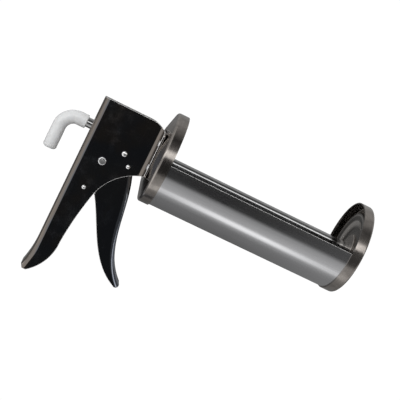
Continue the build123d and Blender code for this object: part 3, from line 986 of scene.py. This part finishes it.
class GUN_OT_mechanism(bpy.types.Operator):
    """Finish the pawls, springs, spacers and bushes inside the handle"""

    bl_idname = "gun.mechanism"
    bl_label = "Mechanism"

    def execute(self, context):
        finishes, _, _ = settings()
        hardened = small_hardware("hardened_steel", finishes.hardened, 0.32, 200.0, 0.3)
        wire = small_hardware("spring_wire", finishes.hardened, 0.24, 500.0, 0.2)
        plain = small_hardware("plain_steel", finishes.satin, 0.3, 240.0, 0.18)
        brass = small_hardware("turned_brass", finishes.brass, 0.26, 180.0, 0.15)
        groups = (
            (hardened, ("drive_pawl", "stop_pawl")),
            (wire, ("trigger_return_spring", "stop_pawl_spring", "drive_pawl_spring")),
            (
                plain,
                (
                    "trigger_stop_spacer",
                    "grip_spacer",
                    "stop_pawl_spacers",
                    "drive_pawl_spacers",
                    "drive_pawl_pin",
                ),
            ),
            (brass, ("trigger_bush", "rod_guide_bush")),
        )
        for material, nodes in groups:
            for node in nodes:
                coat(node, material)
        return {"FINISHED"}


class GUN_OT_sleeve(bpy.types.Operator):
    """Dip the vinyl sleeve that covers the hook"""

    bl_idname = "gun.sleeve"
    bl_label = "Hook sleeve"

    def execute(self, context):
        finishes, sizes, _ = settings()
        low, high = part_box("grip_sleeve")
        rod_low, rod_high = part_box("ratchet_rod")
        outside = high[2]
        bore = (rod_high[1] - rod_low[1]) / 2
        hook_x = low[0] + outside
        straight = high[0] - hook_x - sizes.hook_bend
        arc = sizes.hook_bend * math.pi / 2
        length = straight + arc - low[2] - sizes.hook_bend
        end_wall = sizes.sleeve_end_wall

        def place(run):
            """A point on the hook's centre line, and the direction outwards in the hook's plane."""
            if run < straight:
                return Vector((high[0] - run, 0.0, 0.0)), Vector((0.0, 0.0, 1.0))
            angle = min((run - straight) / sizes.hook_bend, math.pi / 2)
            out = Vector((-math.sin(angle), 0.0, math.cos(angle)))
            centre = Vector((hook_x + sizes.hook_bend, 0.0, -sizes.hook_bend)) + out * sizes.hook_bend
            return centre - Vector((0.0, 0.0, max(run - straight - arc, 0.0))), out

        rings = []
        for step in range(SLEEVE_END_RINGS):
            angle = math.pi / 2 * step / SLEEVE_END_RINGS
            rings.append(
                (
                    length - sizes.sleeve_round * (1 - math.cos(angle)),
                    outside - sizes.sleeve_round * (1 - math.sin(angle)),
                )
            )
        body = length - sizes.sleeve_round
        for step in range(1, SLEEVE_BODY_RINGS):
            run = body * (1 - step / SLEEVE_BODY_RINGS)
            swell = sum(math.sin(run * pace + start) * share for pace, start, share in SLEEVE_SWELLS)
            rings.append((max(run, sizes.sleeve_lip), outside - sizes.sleeve_ripple * (1 - swell)))
        lip = (outside - bore) / 2
        for step in range(1, SLEEVE_LIP_RINGS + 1):
            angle = math.pi * step / SLEEVE_LIP_RINGS
            rings.append((sizes.sleeve_lip * (1 - math.sin(angle)), bore + lip + lip * math.cos(angle)))
        bore_length = length - end_wall - sizes.sleeve_lip
        for step in range(1, SLEEVE_BORE_RINGS + 1):
            rings.append((sizes.sleeve_lip + bore_length * step / SLEEVE_BORE_RINGS, bore))
        mesh = ring_skin("grip_sleeve_skin", rings, place, SLEEVE_SIDES)
        new_piece("hook_sleeve", mesh, "grip_sleeve", soft_vinyl("sleeve_vinyl", finishes.vinyl))
        return {"FINISHED"}


class GUN_OT_studio(bpy.types.Operator):
    """Light the studio, lay the floor and set the camera"""

    bl_idname = "gun.studio"
    bl_label = "Studio"

    def execute(self, context):
        _, _, studio = settings()
        context.scene.view_settings.view_transform = "Standard"
        self.set_world(context, studio)
        self.lay_floor(context, studio)
        self.hang_lights(context, studio)
        self.set_camera(context, studio)
        return {"FINISHED"}

    @staticmethod
    def set_world(context, studio):
        """Soft light as bands round the barrel's axis, a strip below, and fill from both ends."""
        sky = Finish("studio_world", bpy.data.worlds)
        x, y, z = sky.parts(sky.node("ShaderNodeTexCoord", output=0))
        turn = sky.node("ShaderNodeMath", {"operation": "ARCTAN2"}, {0: z * -1.0, 1: y * -1.0})
        band = sky.ramp(
            turn * (0.5 / math.pi) + 0.5,
            *[(0.5 + degrees / 360.0, light / BAND_FULL) for degrees, light in LIGHT_BANDS],
        )
        facing = sky.step(y * -1.0, *FACING)
        sided = FAR_SIDE_SHARE + (1.0 - FAR_SIDE_SHARE) * facing
        rear_fill = sky.step(x * -1.0, *REAR_FADE) * sided * studio.rear_fill
        front_fill = sky.step(x, *FRONT_FADE) * studio.front_fill
        lengthwise = sky.step(x, *STRIP_IN) * (1.0 - sky.step(x, *STRIP_OUT))
        strip_starts = sky.step(turn, *map(math.radians, STRIP_DEGREES_IN))
        strip_ends = sky.step(turn, *map(math.radians, STRIP_DEGREES_OUT))
        around = strip_starts * (1.0 - strip_ends)
        strip = lengthwise * around * studio.strip
        light = band * BAND_FULL + strip + rear_fill + front_fill
        shader = sky.node("ShaderNodeBackground", None, {"Color": (1.0, 1.0, 1.0, 1.0), "Strength": light})
        sky.node_output(shader, "ShaderNodeOutputWorld")
        context.scene.world = sky.material

    @staticmethod
    def sheet_of_card(context, name, centre, facing, width, height, material):
        """A flat card with its middle at centre, facing along a direction."""
        turn = Vector(facing).to_track_quat("Z", "Y").to_matrix().to_4x4()
        place = Matrix.Translation(centre) @ turn
        signs = ((-1, -1), (1, -1), (1, 1), (-1, 1))
        corners = [place @ Vector((x * width / 2, y * height / 2, 0.0)) for x, y in signs]
        mesh = bpy.data.meshes.new(name)
        mesh.from_pydata(corners, [], [(0, 1, 2, 3)])
        mesh.materials.append(material)
        card = bpy.data.objects.new(name, mesh)
        context.scene.collection.objects.link(card)
        return card

    def lay_floor(self, context, studio):
        """A pale floor and a dome of the same paper, both seen by the camera alone."""
        paper = studio_white("studio_paper", PAPER_TONE, PAPER_GLOW)
        floor_z = CAD_BOX[0][2] - studio.floor_drop
        floor = self.sheet_of_card(
            context, "floor", (0.0, 0.0, floor_z), (0, 0, 1), DOME_RADIUS, DOME_RADIUS, paper
        )
        work = bmesh.new()
        bmesh.ops.create_uvsphere(work, u_segments=48, v_segments=24, radius=DOME_RADIUS)
        mesh = bpy.data.meshes.new("backdrop")
        work.to_mesh(mesh)
        work.free()
        mesh.materials.append(paper)
        backdrop = bpy.data.objects.new("backdrop", mesh)
        context.scene.collection.objects.link(backdrop)
        for paper_piece in (floor, backdrop):
            paper_piece.visible_diffuse = False
            paper_piece.visible_glossy = False
            paper_piece.visible_transmission = False
            paper_piece.visible_shadow = False

    @staticmethod
    def hang_lights(context, studio):
        """A large soft key light that reaches the matt pieces. The metal mirrors only the bands."""
        data = bpy.data.lights.new("key_softbox", "AREA")
        data.shape = "RECTANGLE"
        data.size, data.size_y = KEY_SIZE
        data.energy = studio.key_power
        lamp = bpy.data.objects.new("key_softbox", data)
        lamp.location = KEY_PLACE
        towards = Vector(KEY_AIM) - lamp.location
        lamp.rotation_euler = towards.to_track_quat("-Z", "Y").to_euler()
        lamp.visible_glossy = False
        context.scene.collection.objects.link(lamp)

    @staticmethod
    def set_camera(context, studio):
        """Aim the camera from the front, a little above, rolled so that the barrel slopes down."""
        ahead = Vector(
            (
                math.sin(studio.azimuth) * math.cos(studio.elevation),
                math.cos(studio.azimuth) * math.cos(studio.elevation),
                -math.sin(studio.elevation),
            )
        )
        level = ahead.cross(Vector((0, 0, 1))).normalized()
        upright = level.cross(ahead)
        right = level * math.cos(studio.roll) + upright * math.sin(studio.roll)
        up = right.cross(ahead)
        turn = Matrix((right, up, -ahead)).transposed()
        data = bpy.data.cameras.new("camera")
        data.sensor_width = SENSOR_WIDTH
        data.lens = studio.lens
        data.clip_start, data.clip_end = CAMERA_CLIP
        camera = bpy.data.objects.new("camera", data)
        camera.matrix_world = Matrix.Translation(Vector(studio.aim) - ahead * studio.distance) @ turn.to_4x4()
        context.scene.collection.objects.link(camera)
        context.scene.camera = camera


PIECES = (
    GUN_OT_handle,
    GUN_OT_trigger,
    GUN_OT_barrel,
    GUN_OT_piston,
    GUN_OT_rod,
    GUN_OT_rivets,
    GUN_OT_mechanism,
    GUN_OT_sleeve,
    GUN_OT_studio,
)


class GUN_PT_panel(bpy.types.Panel):
    """Lists the gun's pieces and the studio"""

    bl_label = "Caulking gun"
    bl_idname = "GUN_PT_panel"
    bl_space_type = "VIEW_3D"
    bl_region_type = "UI"
    bl_category = "Caulking gun"

    def draw(self, context):
        for operator in PIECES:
            self.layout.operator(operator.bl_idname)
        for group in (context.scene.gun_finishes, context.scene.gun_sizes, context.scene.gun_studio):
            box = self.layout.box()
            for name in group.__annotations__:
                box.prop(group, name)


CLASSES = (GunFinishes, GunSizes, StudioSettings, *PIECES, GUN_PT_panel)


def register():
    for entry in CLASSES:
        bpy.utils.register_class(entry)
    bpy.types.Scene.gun_finishes = bpy.props.PointerProperty(type=GunFinishes)
    bpy.types.Scene.gun_sizes = bpy.props.PointerProperty(type=GunSizes)
    bpy.types.Scene.gun_studio = bpy.props.PointerProperty(type=StudioSettings)


def unregister():
    del bpy.types.Scene.gun_studio
    del bpy.types.Scene.gun_sizes
    del bpy.types.Scene.gun_finishes
    for entry in reversed(CLASSES):
        bpy.utils.unregister_class(entry)


def main():
    register()
    for operator in PIECES:
        category, name = operator.bl_idname.split(".")
        getattr(getattr(bpy.ops, category), name)()


if __name__ == "__main__":
    main()
